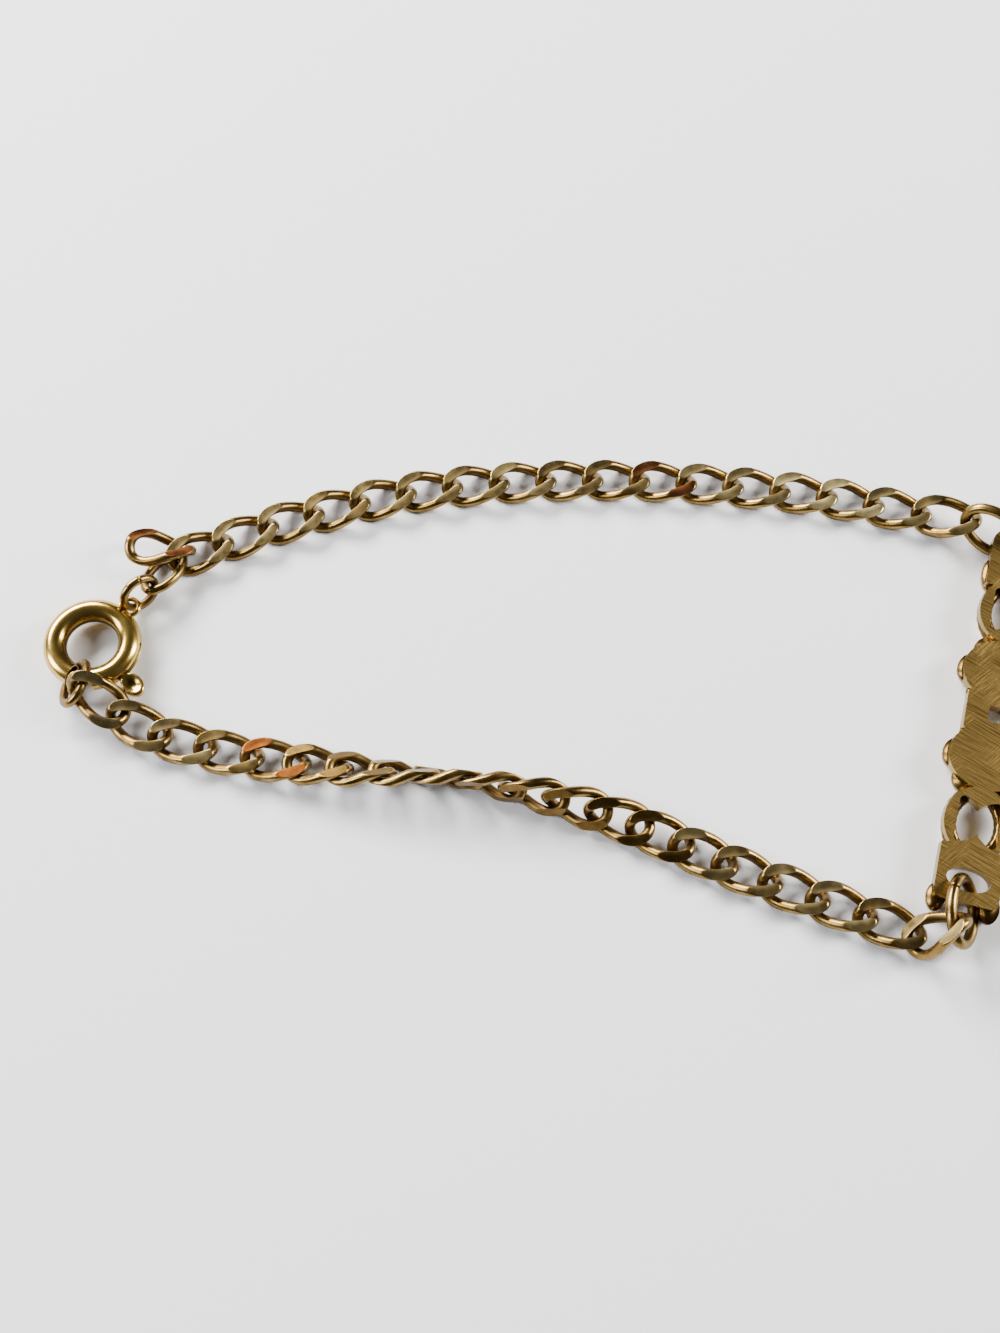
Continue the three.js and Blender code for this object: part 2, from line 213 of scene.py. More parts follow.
LINK_HALF_LENGTH = 2.55
LINK_HALF_WIDTH = 1.4
LINK_TWIST = 0.65
LINK_WIRE = 0.445
STEPS_ROUND_LOOP = 128
STEPS_ROUND_WIRE = 40
FILED_HEIGHT = 0.7
FILED_EDGE = 0.012
FILED_FADE = 0.02
FARTHEST_NEIGHBOUR = 7
# painted shade: how far it reaches from a crevice, how strong it is inside a loop, and the span over which the
# wire turns to the shade brown
SHADE_REACH = 0.3
INNER_SHADE_AND_TARNISH = 0.8
SHADE_RANGE = (0.30, 0.95)
WIRE_COLOURS = {
    # noise scale, noise detail, darkest colour, lightest colour
    "body": (900, 4, (0.135, 0.078, 0.020), (0.27, 0.175, 0.055)),
    "dull": (1500, 3, (0.115, 0.064, 0.014), (0.17, 0.103, 0.028)),
    "bright": (1500, 3, (0.80, 0.62, 0.25), (0.95, 0.78, 0.38)),
    "copper": (1500, 3, (0.13, 0.020, 0.003), (0.22, 0.040, 0.006)),
    # the brown of the painted shade in the crevices and inside the loops
    "shade_brown": (1200, 3, (0.030, 0.015, 0.006), (0.09, 0.045, 0.016)),
    # the same for the roughness, as greys
    "shine": (700, 5, (0.20, 0.20, 0.20), (0.34, 0.34, 0.34)),
    "matt": (700, 5, (0.42, 0.42, 0.42), (0.55, 0.55, 0.55)),
}
CURB_LINKS = [name for name in sorted(frame["nodes"]) if "_link_" in name] + ["tail_link"]
# how bright the filed flats are, from 0 to 1, and how far they are worn to copper
DULL_TONES = (0.08, 0.32)
# the flats of these links of the upper run are painted bright, as painted highlight
LIT_FLAT_LINKS = {
    "upper_link_11": 0.9, "upper_link_12": 0.45, "upper_link_14": 0.9, "upper_link_15": 1.0,
}
# the flats of these links of the lower run are painted dullest, as painted shade
SHADED_FLAT_LINKS = ["lower_link_%02d" % number for number in range(5, 15)]
COPPER_LINKS = {"upper_link_11": 0.9, "lower_link_05": 0.6, "tail_link": 0.8}
PLAIN_RINGS = {
    # the jump rings, which make crevices with the links too: half length, half width, wire
    "upper_jump_ring": (2.6, 1.85, 0.45),
    "lower_jump_ring": (2.6, 1.85, 0.45),
    "small_jump_ring": (1.5, 1.4, 0.36),
    "clasp_link": (2.2, 1.3, 0.38),
    "end_ring": (1.98, 1.45, 0.37),
}


def loop_frame(name):
    """The middle of a CAD loop and its long, wide and thin axes: the mean of the centres of its
    faces, weighed by area, and the directions in which they spread most, less and least."""
    mesh = frame["nodes"][name].data
    centres = np.empty(3 * len(mesh.polygons))
    areas = np.empty(len(mesh.polygons))
    mesh.polygons.foreach_get("center", centres)
    mesh.polygons.foreach_get("area", areas)
    centres = centres.reshape(-1, 3)
    centre = areas @ centres / areas.sum()
    offsets = centres - centre
    axes = np.linalg.eigh((offsets * areas[:, None]).T @ offsets)[1]
    along = axes[:, 2] * np.sign(axes[0, 2] + axes[1, 2])
    up = axes[:, 0] * np.sign(axes[2, 0])
    return centre, np.stack([along, np.cross(up, along), up])


def placed(points, axes, origin):
    """Points in mm along three axes, as points in metres in the scene."""
    return points @ axes * MM + origin


def all_round(steps):
    """Angles once round a circle, in so many steps."""
    return np.linspace(0, 2 * np.pi, steps, endpoint=False)


def middle_line(half_length, half_width, twist, turn):
    """The middle of the wire at each angle: x = a cos t and y = b sin t go round an oval, and
    z = -c sin 2t falls and rises twice on the way, which is the twist of a curb link."""
    return np.stack([half_length * np.cos(turn), half_width * np.sin(turn),
                     -twist * np.sin(2 * turn)], axis=-1)


def unit(vectors):
    """Each vector divided by its length."""
    return vectors / np.linalg.norm(vectors, axis=1, keepdims=True)


def outward(half_length, half_width, turn):
    """The way out of an oval at each angle, square to its edge: x = b cos t and y = a sin t."""
    return np.stack([half_width * np.cos(turn), half_length * np.sin(turn), 0 * turn], axis=-1)


def wire_loop(half_length, half_width, twist, wire, turn):
    """A circle carried round the middle line, square to it: the line plus the wire's radius
    times out cos v + up sin v, where out points away from the oval and up stands on it."""
    line = middle_line(half_length, half_width, twist, turn)
    ahead = unit(np.stack([-half_length * np.sin(turn), half_width * np.cos(turn),
                           -2 * twist * np.cos(2 * turn)], axis=-1))
    out = outward(half_length, half_width, turn)
    out = unit(out - ahead * np.sum(ahead * out, axis=1, keepdims=True))
    up = np.cross(out, ahead)
    angle = all_round(STEPS_ROUND_WIRE)[None, :, None]
    return line[:, None] + wire * (np.cos(angle) * out[:, None] + np.sin(angle) * up[:, None])


def file_flat(points):
    """Lays what stands beyond the filed height f back to it, over a soft edge e: each height h
    becomes h - e ln(1 + exp((h - f) / e)). Says how far each point was filed, from 0 to 1."""
    height = np.abs(points[..., 2])
    over = (height - FILED_HEIGHT) / FILED_EDGE
    points[..., 2] = np.sign(points[..., 2]) * (height - FILED_EDGE * np.logaddexp(0, over))
    return np.clip((height - FILED_HEIGHT) / FILED_FADE, 0, 1)


def grid_quads(rows, columns, rows_meet=True):
    """The quads between neighbouring points of a grid. The last column meets the first, and
    the last row meets the first one too unless the ends are open."""
    row = np.arange(rows if rows_meet else rows - 1)[:, None]
    column = np.arange(columns)[None, :]
    next_row = (row + 1) % rows
    next_column = (column + 1) % columns
    quads = [row * columns + column, row * columns + next_column,
             next_row * columns + next_column, next_row * columns + column]
    return np.stack(quads, axis=-1).reshape(-1, 4)


def new_piece(name, points, faces, finishes, replaced):
    """A smooth piece of the object from points in metres. It rides on the chain's body, or on
    the gate's if it takes the place of the lever."""
    mesh = bpy.data.meshes.new(name)
    mesh.from_pydata(points.reshape(-1, 3).tolist(), [], [list(face) for face in faces])
    mesh.shade_smooth()
    for finish in finishes:
        mesh.materials.append(finish)
    piece = bpy.data.objects.new(name, mesh)
    bpy.context.scene.collection.objects.link(piece)
    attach(piece, "gate" if replaced == "gate_lever" else "bracelet")
    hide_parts(replaced)
    return piece


def paint(piece, name, values):
    """Stores one number for each point of a piece, for its material to read."""
    attribute = piece.data.attributes.new(name, "FLOAT", "POINT")
    attribute.data.foreach_set("value", np.ascontiguousarray(values, np.float32).ravel())


def crevice_shade(name, points):
    """Painted shade for how deep in a crevice each point of a loop lies: exp(-gap / reach), where
    the gap is the distance to the nearest of the other loops' middle lines, less the radius of its
    wire."""
    points = points.reshape(-1, 3) / MM
    near = np.full(len(points), np.inf)
    for other, (line, wire) in middle_lines.items():
        apart = np.min(np.linalg.norm(line.mean(axis=0) - points, axis=1))
        if other != name and apart < FARTHEST_NEIGHBOUR:
            gaps = np.linalg.norm(points[:, None] - line[None], axis=2).min(axis=1) - wire
            near = np.minimum(near, gaps)
    return np.exp(-np.maximum(near, 0) / SHADE_REACH)


def loop_shade_and_tarnish(name, points):
    """Painted shade at each point of a loop: that of the crevices, or if it is more, the painted
    shade and tarnish inside the loop, which falls off with the cosine of the angle round the wire
    from its inner side."""
    inner = INNER_SHADE_AND_TARNISH * np.clip(-np.cos(all_round(STEPS_ROUND_WIRE)), 0, 1)
    return np.maximum(crevice_shade(name, points), np.tile(inner, len(points)))


def wire_finish():
    """Old gold plate on wire: brown over most of it, painted shade near black in the crevices and,
    with tarnish, inside the loops, and on the filed flats from dull to bright by each loop's tone,
    which paints highlight on some loops and shade on others, with copper where it wore through."""
    finish = Finish("aged_gold_wire")
    look = {}
    for part, (scale, detail, low, high) in WIRE_COLOURS.items():
        look[part] = finish.ramp(finish.noise(scale, detail), low, high)
    # painted shade: the wire turns to the shade brown where the painted number is high
    shaded = finish.ramp(finish.read("painted_shade"), (0, 0, 0), (1, 1, 1), *SHADE_RANGE)
    wire = finish.mix(shaded, look["body"], look["shade_brown"])
    flat = finish.mix(finish.read("tone_and_painted_light"), look["dull"], look["bright"])
    flat = finish.mix(finish.read("copper"), flat, look["copper"])
    finish.drive("Base Color", finish.mix(finish.read("filed"), wire, flat))
    finish.drive("Roughness", finish.mix(finish.read("painted_shade"), look["shine"], look["matt"]))
    finish.bump(finish.noise(scale=2600, detail=6), strength=0.12, distance=0.02)
    return finish.material


full_turn = all_round(STEPS_ROUND_LOOP)
curb_link = (LINK_HALF_LENGTH, LINK_HALF_WIDTH, LINK_WIRE)
middle_lines = {}
for name in CURB_LINKS + list(PLAIN_RINGS):
    half_length, half_width, wire = PLAIN_RINGS.get(name, curb_link)
    twist = 0 if name in PLAIN_RINGS else LINK_TWIST
    centre, axes = loop_frame(name)
    line = middle_line(half_length, half_width, twist, full_turn[::2]) @ axes + centre / MM
    middle_lines[name] = (line, wire)

aged_gold = wire_finish()
wear = np.random.default_rng(4)
link = wire_loop(LINK_HALF_LENGTH, LINK_HALF_WIDTH, LINK_TWIST, LINK_WIRE, full_turn)
filed = file_flat(link)
quads = grid_quads(STEPS_ROUND_LOOP, STEPS_ROUND_WIRE)
for name in CURB_LINKS:
    centre, axes = loop_frame(name)
    points = placed(link, axes, centre)
    piece = new_piece("curb_" + name, points, quads, [aged_gold], name)
    dull_tone = wear.uniform(*DULL_TONES)
    # flats: painted shade on the shaded links, painted highlight on the lit ones, a random dull tone on the rest
    tone_and_painted_light = 0 if name in SHADED_FLAT_LINKS else LIT_FLAT_LINKS.get(name, dull_tone)
    paint(piece, "filed", filed)
    # painted shade in the crevices, and painted shade with tarnish inside the loop
    paint(piece, "painted_shade", loop_shade_and_tarnish(name, points))
    paint(piece, "tone_and_painted_light", np.full(filed.size, tone_and_painted_light))
    paint(piece, "copper", np.full(filed.size, COPPER_LINKS.get(name, 0)))

# ---------------------------------------------------------------- jump rings
# Plain loops of round wire that join the chain to the clasp and the plaque. Each is bent shut
# on a fine saw cut, which stays unsoldered. Where the cut lies is a guess.

SAW_CUT = 0.05
SAW_CUT_AT = math.radians(60)

for name, (half_length, half_width, wire) in PLAIN_RINGS.items():
    centre, axes = loop_frame(name)
    half_cut = SAW_CUT / half_width / 2
    turn = np.linspace(half_cut, 2 * np.pi - half_cut, STEPS_ROUND_LOOP)
    points = wire_loop(half_length, half_width, 0, wire, turn + SAW_CUT_AT)
    points = placed(points, axes, centre)
    faces = grid_quads(STEPS_ROUND_LOOP, STEPS_ROUND_WIRE, rows_meet=False).tolist()
    count = STEPS_ROUND_LOOP * STEPS_ROUND_WIRE
    faces.append(list(range(STEPS_ROUND_WIRE))[::-1])
    faces.append(list(range(count - STEPS_ROUND_WIRE, count)))
    piece = new_piece("wire_" + name, points, faces, [aged_gold], name)
    # painted shade in the crevices, and painted shade with tarnish inside the ring
    paint(piece, "painted_shade", loop_shade_and_tarnish(name, points))

# ---------------------------------------------------------------- spring ring
# The clasp: a thin brass tube bent round and cut away at its mouth, with a slot for the lever
# and a wire eyelet soldered on. It is polished and plated brighter than the chain. Angles are
# in degrees round the ring, from its right.

RING_RADIUS = 3.06
RING_TUBE = 0.73
RING_WALL = 0.22
MOUTH_FROM, MOUTH_TO = -118, -84
SLOT_FROM, SLOT_TO = -52, 2
SLOT_HALF_COLUMNS = 3
TUBE_COLUMNS = 48
DEGREES_PER_ROW = 2
# painted shade on the tube's inner side: how strong, and how fast it falls off round the tube
TUBE_INNER_SHADE = 0.75
TUBE_SHADE_FALL = 1.5
BRIGHT_GOLD = ((0.46, 0.29, 0.06), (0.60, 0.41, 0.11))
BRIGHT_ROUGHNESS = 0.20
ROUGHNESS_SPREAD = 0.3
# the brown of the painted shade on the polished pieces
PAINTED_SHADE_BROWN = (0.05, 0.022, 0.006)
SHARP_EDGE = math.radians(50)
EYELET_AT = 52
EYELET_RADIUS = 0.77
EYELET_WIRE = 0.22
EYELET_GAP = 0.58
EYELET_STEPS = (64, 20)

joint = frame["joints"][0]
hinge = np.array(joint["axis"], float)
clasp_centre = np.array(joint["pos_m"], float)
clasp_right = np.cross((0, 1, 0), hinge)
clasp_right /= np.linalg.norm(clasp_right)
clasp_axes = np.stack([clasp_right, np.cross(hinge, clasp_right), hinge])


def grid_points(x, y, z):
    """The points of a grid from their three coordinates, each spread over all of it."""
    return np.stack(np.broadcast_arrays(x, y, z), axis=-1)


def ring_tube(ring_radius, tube_radius, turn, angle):
    """A circle carried round a larger circle: the distance from the ring's axis is
    R + r cos v, the height is r sin v, for each turn u round the ring and v round the tube."""
    away = ring_radius + tube_radius * np.cos(angle)
    return grid_points(np.cos(turn)[:, None] * away, np.sin(turn)[:, None] * away,
                       tube_radius * np.sin(angle))


def soften_edges(piece, name, width, segments):
    """Rounds the sharp edges of a piece with a bevel of so many mm."""
    edge = piece.modifiers.new(name, "BEVEL")
    edge.width = width * MM
    edge.segments = segments
    edge.limit_method = "ANGLE"
    edge.angle_limit = SHARP_EDGE
    edge.harden_normals = True


def polished_finish(name, low, high, roughness):
    """Bright gold plate: nearly even colour, faint swirls from the polishing mop, a fine grain,
    and brown painted shade where the number painted on each point says so."""
    finish = Finish(name)
    swirls = finish.noise(scale=450, detail=4)
    clean = finish.ramp(swirls, low, high)
    finish.drive("Base Color", finish.mix(finish.read("painted_shade"), clean, PAINTED_SHADE_BROWN))
    smoothest, roughest = roughness * (1 - ROUGHNESS_SPREAD), roughness * (1 + ROUGHNESS_SPREAD)
    finish.drive("Roughness", finish.stretch(swirls, smoothest, roughest))
    finish.bump(finish.noise(scale=2400, detail=6), strength=0.15, distance=0.01)
    return finish.material


bright_gold = polished_finish("bright_gold_plate", *BRIGHT_GOLD, BRIGHT_ROUGHNESS)
rows = (MOUTH_FROM + 360 - MOUTH_TO) // DEGREES_PER_ROW + 1
turn = np.radians(MOUTH_TO + DEGREES_PER_ROW * np.arange(rows))
angle = all_round(TUBE_COLUMNS)
points = ring_tube(RING_RADIUS, RING_TUBE, turn, angle)
quads = grid_quads(rows, TUBE_COLUMNS, rows_meet=False)
quad_row = quads[:, 0] // TUBE_COLUMNS
quad_column = quads[:, 0] % TUBE_COLUMNS
slot_rows = [(degrees - MOUTH_TO) // DEGREES_PER_ROW for degrees in (SLOT_FROM, SLOT_TO)]
in_rows = (quad_row >= slot_rows[0]) & (quad_row < slot_rows[1])
in_columns = (quad_column < SLOT_HALF_COLUMNS) | (quad_column >= TUBE_COLUMNS - SLOT_HALF_COLUMNS)
tube = new_piece("clasp_ring_tube", placed(points, clasp_axes, clasp_centre),
                 quads[~(in_rows & in_columns)], [bright_gold], "spring_ring")
# painted shade on the inner side of the tube
inward = np.clip(-np.cos(angle), 0, 1)
paint(tube, "painted_shade", np.tile(TUBE_INNER_SHADE * inward ** TUBE_SHADE_FALL, rows))
wall = tube.modifiers.new("tube_wall", "SOLIDIFY")
wall.thickness = RING_WALL * MM
wall.offset = -1
soften_edges(tube, "cut_edges", width=0.03, segments=2)

points = ring_tube(EYELET_RADIUS, EYELET_WIRE, *[all_round(steps) for steps in EYELET_STEPS])
eyelet_turn = math.radians(EYELET_AT)
eyelet_away = RING_RADIUS + RING_TUBE + EYELET_GAP
points += np.array([math.cos(eyelet_turn), math.sin(eyelet_turn), 0]) * eyelet_away
new_piece("clasp_eyelet", placed(points, clasp_axes, clasp_centre), grid_quads(*EYELET_STEPS),
          [bright_gold], "spring_ring")

# ---------------------------------------------------------------- gate and thumb lever
# A curved rod inside the ring closes its mouth, pushed by a spring that never shows. A dished
# tab stands on it through the slot, for the thumbnail that pulls the gate back. Its hollow is
# painted brown, as painted shade.

GATE_ROD = 0.4
GATE_OVERLAP = 5
GATE_STEPS = (45, 24)
LEVER_AT = -44.5
LEVER_FROM, LEVER_TO = 3.9, 6.2
LEVER_HALF_WIDTH = 0.86
LEVER_HALF_THICK = 0.4
LEVER_DISH = 0.3
TAB_STEPS = (28, 48)
POLE_HOLE = 0.04
NECK_RADIUS = 0.2
NECK_INTO_TAB = 0.3
NECK_STEPS = (6, 16)
# the brown painted shade in the hollow, with distances as shares of the tab's half length and half width
HOLLOW_AT = -0.12
HOLLOW_SHADE = 1.25
HOLLOW_FALL = 1.6
HOLLOW_MOST = 0.9


def turned_axes(turn):
    """The axes of a frame that is turned about its upright axis."""
    return np.array([[math.cos(turn), math.sin(turn), 0], [-math.sin(turn), math.cos(turn), 0],
                     [0, 0, 1]])


def closed_by_poles(rings):
    """Points and faces of a stack of rings closed at both ends by one point each, the middle of
    the first ring and of the last."""
    rows, columns = rings.shape[:2]
    body = rings.reshape(-1, 3)
    poles = np.stack([rings[0].mean(axis=0), rings[-1].mean(axis=0)])
    column = np.arange(columns)
    beside = (column + 1) % columns
    first = np.stack([np.full(columns, len(body)), beside, column], axis=-1)
    last = np.stack([np.full(columns, len(body) + 1), column, beside], axis=-1)
    last[:, 1:] += (rows - 1) * columns
    faces = grid_quads(rows, columns, rows_meet=False).tolist() + first.tolist() + last.tolist()
    return np.concatenate([body, poles]), faces


def lever_tab(half_length, half_width, half_thick, dish):
    """A pebble with a hollow top: its section is a squared circle, r = sin(s)^0.5 out and
    z = cos(s)^0.5 up, and the top sinks by the dish times (1 - r^2)^2."""
    section = np.linspace(POLE_HOLE, np.pi - POLE_HOLE, TAB_STEPS[0])[:, None]
    angle = all_round(TAB_STEPS[1])
    out = np.sin(section) ** 0.5
    up = half_thick * np.sign(np.cos(section)) * np.abs(np.cos(section)) ** 0.5
    up -= np.where(section < np.pi / 2, dish * (1 - out ** 2) ** 2, 0)
    return grid_points(half_length * out * np.cos(angle), half_width * out * np.sin(angle), up)


def merged(parts):
    """Several closed shells as one list of points and faces."""
    points, faces, start = [], [], 0
    for part_points, part_faces in parts:
        points.append(part_points)
        faces += [[index + start for index in face] for face in part_faces]
        start += len(part_points)
    return np.concatenate(points), faces


rod_turn = np.linspace(MOUTH_FROM - GATE_OVERLAP, LEVER_AT + GATE_OVERLAP, GATE_STEPS[0])
rod = ring_tube(RING_RADIUS, GATE_ROD, np.radians(rod_turn), all_round(GATE_STEPS[1]))
tab_middle = np.array([(LEVER_FROM + LEVER_TO) / 2, 0, 0])
tab_halves = np.array([(LEVER_TO - LEVER_FROM) / 2, LEVER_HALF_WIDTH, LEVER_HALF_THICK])
tab = lever_tab(*tab_halves, LEVER_DISH) + tab_middle
neck_along = np.linspace(RING_RADIUS, LEVER_FROM + NECK_INTO_TAB, NECK_STEPS[0])[:, None]
neck_angle = all_round(NECK_STEPS[1])
neck = grid_points(neck_along, -NECK_RADIUS * np.cos(neck_angle), NECK_RADIUS * np.sin(neck_angle))
lever_axes = turned_axes(math.radians(LEVER_AT))
points, faces = merged([closed_by_poles(rod), closed_by_poles(tab @ lever_axes),
                        closed_by_poles(neck @ lever_axes)])
gate = new_piece("gate_and_lever", placed(points, clasp_axes, clasp_centre), faces,
                 [bright_gold], "gate_lever")
along, across, up = ((points @ lever_axes.T - tab_middle) / tab_halves).T
# painted shade in the tab's hollow, darkest near its middle
hollow = np.clip(HOLLOW_SHADE - HOLLOW_FALL * np.hypot(along - HOLLOW_AT, across), 0, HOLLOW_MOST)
paint(gate, "painted_shade", np.where(up > 0, hollow, 0))

# ---------------------------------------------------------------- plaque
# One casting: a flat plate pierced by two butterfly openings, a slot and two end holes, with
# flowers, leaves and rope edges in relief on the front, which lies face down. The back was
# brushed with crossing strokes before plating, and the cut edges were polished.

PLAQUE_HEADING = math.radians(74.9)
PLATE_BACK = 2.1
PLATE_THICK = 0.95
PLATE_FRONT = PLATE_BACK - PLATE_THICK
OUTLINE_STEP = 0.06
ROSETTE_AT = 3.75
ROSETTE_HALVES = (2.75, 3.2)
STRIP_AT = 9.25
STRIP_HALVES = (2.95, 2.7)
BRIDGE_HALVES = (1.7, 2.45)
BRIDGE_CORNER = 0.3
END_START = 11.4
END_HALF_WIDTH = 2.55
PLAQUE_ENDS = [
    # side, edge, corner
    (-1, 15.9, 0.6),
    (1, 16.8, 1.4),
]
END_HOLES = [
    # side, from, to
    (-1, 13.05, 14.95),
    (1, 14.3, 15.9),
]
END_HOLE_HALF_WIDTH = 1.75
OPENING_NEAR, OPENING_FAR = 7.35, 11.15
OPENING_HALF_WIDTH = 1.68
OPENING_TIPS = (0.7, 0.95)
OPENING_CORNER = 0.4
CENTRE_SLOT_HALVES = (0.68, 0.6)
CAST_GOLD = ((0.28, 0.175, 0.045), (0.44, 0.30, 0.085))
CAST_ROUGHNESS = 0.26
BRUSHED_GOLD = ((0.115, 0.067, 0.016), (0.31, 0.205, 0.062))
BRUSHED_ROUGHNESS = (0.46, 0.30)
BRUSH_STROKES = [
    # heading (degrees), length, width
    (-32, 2.6, 0.13),
    (38, 1.8, 0.11),
]

back_mount = next(mount for mount in frame["record"]["mounts"] if mount["name"] == "plaque_back")
plaque_axes = turned_axes(PLAQUE_HEADING)
plaque_origin = np.array(back_mount["pos_m"]) - plaque_axes[0] * ROSETTE_AT * MM
plaque_origin[2] -= PLATE_BACK * MM


def oval_half_width(along, at, half_length, half_width):
    """Half the width of an oval across a line: b times the root of 1 - (x / a)^2."""
    return half_width * np.sqrt(np.clip(1 - ((along - at) / half_length) ** 2, 0, None))


def bar_half_width(along, start, end, half_width, corner):
    """Half the width of a bar, and none past its two ends: b, less c - (c^2 - x^2)^0.5 for the
    distance x into the round corners, of radius c, at its far end."""
    into = np.clip(along - (end - corner), 0, corner)
    width = half_width - corner + np.sqrt(corner ** 2 - into ** 2)
    return np.where((along < start) | (along > end), 0, width)


def half_outline(side, edge, corner):
    """Points from the middle to one end of the plate: at each place along it, the widest of its
    oval rosette, oval strip, end bar and bridge."""
    along = np.append(np.arange(0, edge, OUTLINE_STEP), edge)
    across = np.max([oval_half_width(along, ROSETTE_AT, *ROSETTE_HALVES),
                     oval_half_width(along, STRIP_AT, *STRIP_HALVES),
                     bar_half_width(along, END_START, edge, END_HALF_WIDTH, corner),
                     bar_half_width(along, 0, *BRIDGE_HALVES, BRIDGE_CORNER)], axis=0)
    return np.column_stack([side * along, across])


def bent(start, control, end, steps=8):
    """A curve that leaves its start towards the control point and arrives from it at its end:
    the sum of the three points weighed by (1-s)^2, 2s(1-s) and s^2. The end is left out."""
    s = np.linspace(0, 1, steps, endpoint=False)[:, None]
    start, control, end = (np.array(point, float) for point in (start, control, end))
    return (1 - s) ** 2 * start + 2 * s * (1 - s) * control + s ** 2 * end


def butterfly():
    """The outline of a pierced opening: straight sides, round corners, and ends that come to a
    point inwards, as curves from point to point along its upper half and the same mirrored."""
    near, far, wide, corner = OPENING_NEAR, OPENING_FAR, OPENING_HALF_WIDTH, OPENING_CORNER
    near_tip, far_tip = OPENING_TIPS
    upper = [
        bent((near + near_tip, 0), (near + near_tip / 4, wide / 3), (near, wide - corner)),
        bent((near, wide - corner), (near, wide), (near + corner, wide)),
        bent((near + corner, wide), (STRIP_AT, wide), (far - corner, wide)),
        bent((far - corner, wide), (far, wide), (far, wide - corner)),
        bent((far, wide - corner), (far - far_tip / 4, wide / 3), (far - far_tip, 0)),
        [(far - far_tip, 0)],
    ]
    upper = np.concatenate(upper)
    return np.concatenate([upper, (upper * (1, -1))[-2:0:-1]])


def oval_outline(at, half_length, half_width, steps=48):
    """Points round an oval: x = at + a cos t and y = b sin t."""
    turn = all_round(steps)
    return np.column_stack([at + half_length * np.cos(turn), half_width * np.sin(turn)])


def pierced_plate(outlines, low, high):
    """Points and faces of a flat plate, the outer outline first: both faces filled in between
    the outer outline and the holes, then walls down each outline. Also says how many of the
    faces are filling."""
    loops = [[Vector((x, y, 0)) for x, y in outline] for outline in outlines]
    fill = np.array(tessellate_polygon(loops))
    flat = np.concatenate(outlines)
    count = len(flat)
    corners = flat[fill]
    first = corners[:, 1] - corners[:, 0]
    second = corners[:, 2] - corners[:, 0]
    face_down = (first[:, 0] * second[:, 1] - first[:, 1] * second[:, 0]) < 0
    fill[face_down] = fill[face_down][:, ::-1]
    points = np.concatenate([np.column_stack([flat, np.full(count, z)]) for z in (high, low)])
    faces = fill.tolist() + (fill[:, ::-1] + count).tolist()
    start = 0
    for number, outline in enumerate(outlines):
        size = len(outline)
        here = start + np.arange(size)
        there = start + (np.arange(size) + 1) % size
        x, y = outline.T
        anticlockwise = np.sum(x * np.roll(y, -1) - np.roll(x, -1) * y) > 0
        quads = np.stack([here, here + count, there + count, there], axis=-1)
        # the outer wall faces away from its outline, and the walls of the holes into theirs
        if anticlockwise != (number == 0):
            quads = quads[:, ::-1]
        faces += quads.tolist()
        start += size
    return points, faces, 2 * len(fill)


def brushed_finish():
    """The brushed back: long fine strokes across the plate, a second set over them in patches,
    all of it worn smoother and brighter on the high spots."""
    finish = Finish("brushed_gold_back")
    strokes = []
    for degrees, length, width in BRUSH_STROKES:
        turn = finish.nodes.new("ShaderNodeMapping")
        turn.vector_type = "TEXTURE"
        turn.inputs["Location"].default_value = plaque_origin
        turn.inputs["Rotation"].default_value = (0, 0, math.radians(degrees))
        turn.inputs["Scale"].default_value = (length * MM, width * MM, 1 * MM)
        finish.links.new(finish.place, turn.inputs["Vector"])
        strokes.append(finish.noise(1, 3, where=turn.outputs["Vector"], distortion=0.3))
    patches = finish.stretch(finish.noise(scale=330, detail=2), 0, 1, start=0.5, end=0.62)
    grain = finish.mix(patches, *strokes, kind="FLOAT")
    finish.drive("Base Color", finish.ramp(grain, *BRUSHED_GOLD, start=0.32, end=0.66))
    finish.drive("Roughness", finish.stretch(grain, *BRUSHED_ROUGHNESS))
    finish.bump(grain, strength=0.9, distance=0.05)
    return finish.material


left_edge, right_edge = (half_outline(*end) for end in PLAQUE_ENDS)
upper_edge = np.concatenate([left_edge[::-1], right_edge[1:]])
outer = np.concatenate([upper_edge * (1, -1), upper_edge[::-1]])
centre_slot = np.array([(-1, -1), (1, -1), (1, 1), (-1, 1)]) * CENTRE_SLOT_HALVES
outlines = [outer, centre_slot]
for side, hole_from, hole_to in END_HOLES:
    hole_at = (hole_from + hole_to) / 2
    outlines.append(butterfly() * (side, 1))
    outlines.append(oval_outline(side * hole_at, hole_to - hole_at, END_HOLE_HALF_WIDTH))

brushed_gold = brushed_finish()
casting_gold = polished_finish("cast_gold_edge", *CAST_GOLD, CAST_ROUGHNESS)
points, faces, filling = pierced_plate(outlines, PLATE_FRONT, PLATE_BACK)
plate = new_piece("plaque_plate", placed(points, plaque_axes, plaque_origin), faces,
                  [casting_gold, brushed_gold], "plaque")
finish_index = np.zeros(len(faces), np.int32)
finish_index[:filling] = 1
plate.data.polygons.foreach_set("material_index", finish_index)
soften_edges(plate, "polished_edges", width=0.1, segments=3)

# ---------------------------------------------------------------- plaque relief
# The front of the same casting, worn flat on its crowns: on each side of the middle a flower
# of six petals round an eye, a rope round the opening, and two leaves at the end. Near the
# plate, under which it hangs, it is painted brown as painted shade.

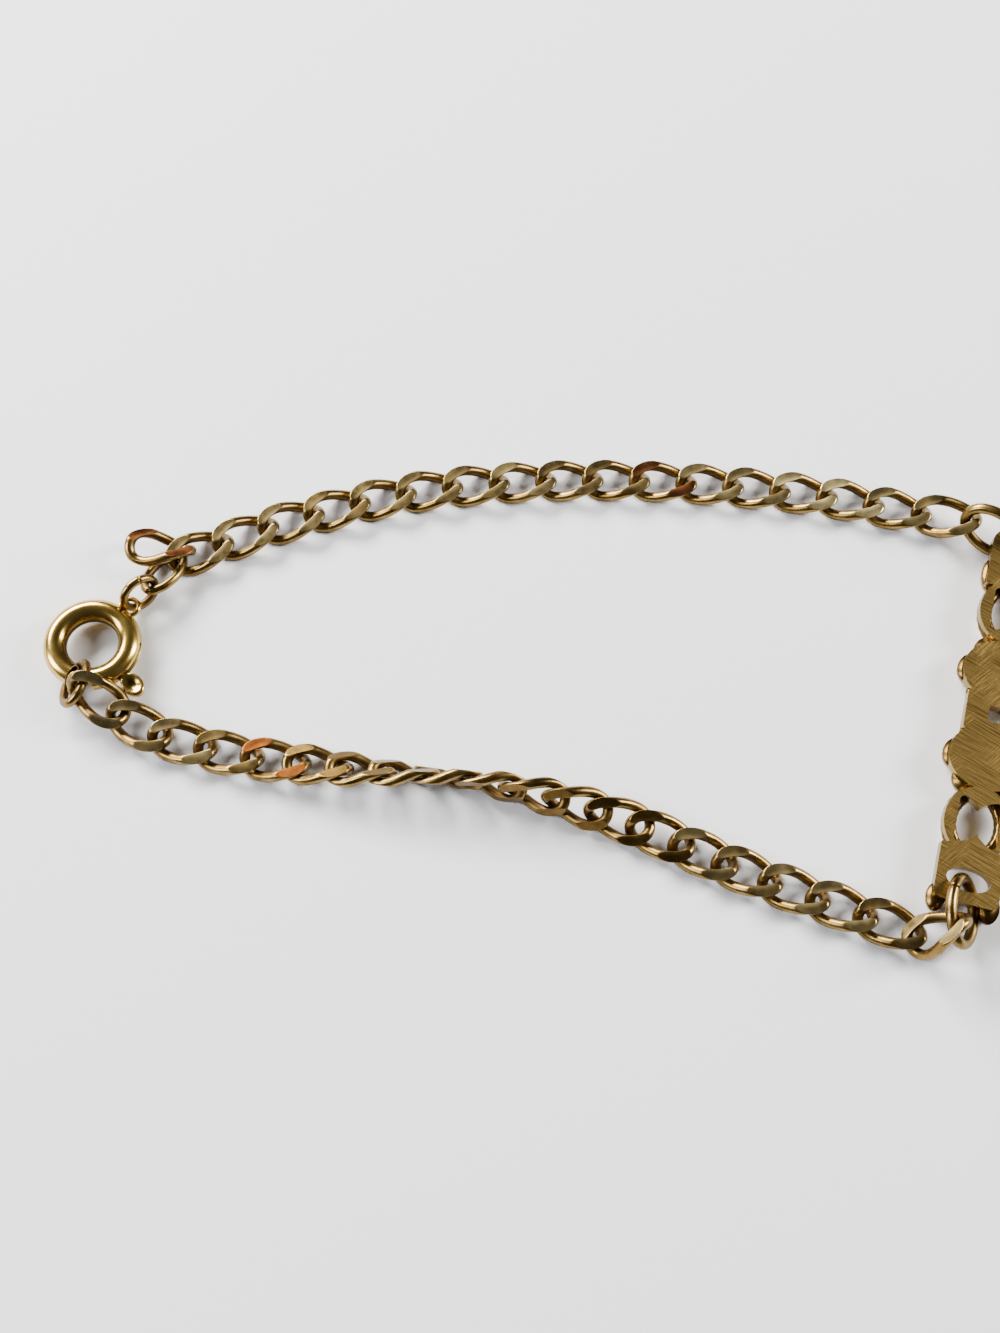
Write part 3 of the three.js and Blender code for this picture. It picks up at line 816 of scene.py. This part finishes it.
PETALS = 6
PETAL_RING = 2.05
PETAL_HALVES = (1.45, 1.35)
PETAL_HEIGHT = 1.45
EYE_RADIUS = 1.2
END_LEAVES = [
    # side, at, half length
    (-1, 15.75, 1.15),
    (1, 12.6, 1.5),
]
LEAF_ACROSS = 2.1
LEAF_HALF_WIDTH = 0.75
LEAF_HEIGHT = 1.3
DOME_STEPS = (18, 40)
EGG = 0.12
VEIN_DEPTH = 0.22
VEIN_WIDTH = 0.16
INTO_PLATE = 0.3
ROPE_RADIUS = 0.62
ROPE_SWELL = 0.02
ROPE_TWISTS = 24
ROPE_STEPS = (240, 20)
# painted shade on the relief: the height where it starts, the rise over which it grows, its most
RECESS_FROM = 0.6
RECESS_DEPTH = 0.5
RECESS_SHADE = 0.8


def domed(at, turn, half_length, half_width, height, veined=False):
    """A dome that hangs from the plate, no lower than the floor: its depth is the height times
    the root of 1 - r^2, less a groove along its middle if it is veined. Its plan is an oval
    made 1 + EGG x / a times as wide at x. A short wall sinks it into the plate."""
    out = np.linspace(POLE_HOLE, 1, DOME_STEPS[0])[:, None]
    angle = all_round(DOME_STEPS[1])
    x = half_length * out * np.cos(angle)
    y = half_width * out * np.sin(angle) * (1 + EGG * x / half_length)
    depth = height * np.sqrt(1 - out ** 2)
    if veined:
        depth = depth - VEIN_DEPTH * np.exp(-(y / VEIN_WIDTH) ** 2) * (1 - out ** 2)
    rings = grid_points(x, y, np.maximum(PLATE_FRONT - depth, 0))
    wall = rings[-1:] * (1, 1, 0) + (0, 0, PLATE_FRONT + INTO_PLATE)
    rings = np.concatenate([rings, wall])
    points, faces = closed_by_poles(rings @ turned_axes(turn) + (*at, 0))
    return points, [face[::-1] for face in faces]


def rope(at):
    """The rope round an opening: a bar carried round an oval, whose radius swells and sinks a
    little as it twists, as 1 + s cos(2 v + n u) for v round the bar and u along it. At the back
    it ends inside the plate."""
    turn, angle = (all_round(steps) for steps in ROPE_STEPS)
    half_length = STRIP_HALVES[0] - ROPE_RADIUS / 2
    half_width = STRIP_HALVES[1] - ROPE_RADIUS
    line = middle_line(half_length, half_width, 0, turn)
    out = unit(outward(half_length, half_width, turn))
    swell = 1 + ROPE_SWELL * np.cos(2 * angle + ROPE_TWISTS * turn[:, None])
    radius = ROPE_RADIUS * swell / (1 + ROPE_SWELL)
    points = line[:, None] + (radius * np.cos(angle))[..., None] * out[:, None]
    points[..., 2] += PLATE_FRONT + radius * np.sin(angle)
    points[..., 2] = np.minimum(points[..., 2], PLATE_BACK - PLATE_THICK / 2)
    quads = grid_quads(*ROPE_STEPS)[:, ::-1]
    return points.reshape(-1, 3) + (at, 0, 0), quads.tolist()


relief = []
for side, leaf_at, leaf_half_length in END_LEAVES:
    relief.append(domed((side * ROSETTE_AT, 0), 0, EYE_RADIUS, EYE_RADIUS, PETAL_HEIGHT))
    for number in range(PETALS):
        turn = 2 * math.pi * (number + 0.5) / PETALS
        at = (side * ROSETTE_AT + PETAL_RING * math.cos(turn), PETAL_RING * math.sin(turn))
        relief.append(domed(at, turn, *PETAL_HALVES, PETAL_HEIGHT, veined=True))
    relief.append(rope(side * STRIP_AT))
    for leaf_across in (-LEAF_ACROSS, LEAF_ACROSS):
        at = (side * leaf_at, leaf_across)
        relief.append(domed(at, 0, leaf_half_length, LEAF_HALF_WIDTH, LEAF_HEIGHT))
points, faces = merged(relief)
front = new_piece("plaque_relief", placed(points, plaque_axes, plaque_origin), faces,
                  [casting_gold], "plaque")
# painted shade, darker towards the plate that overhangs the relief
paint(front, "painted_shade", np.clip((points[:, 2] - RECESS_FROM) / RECESS_DEPTH, 0, RECESS_SHADE))
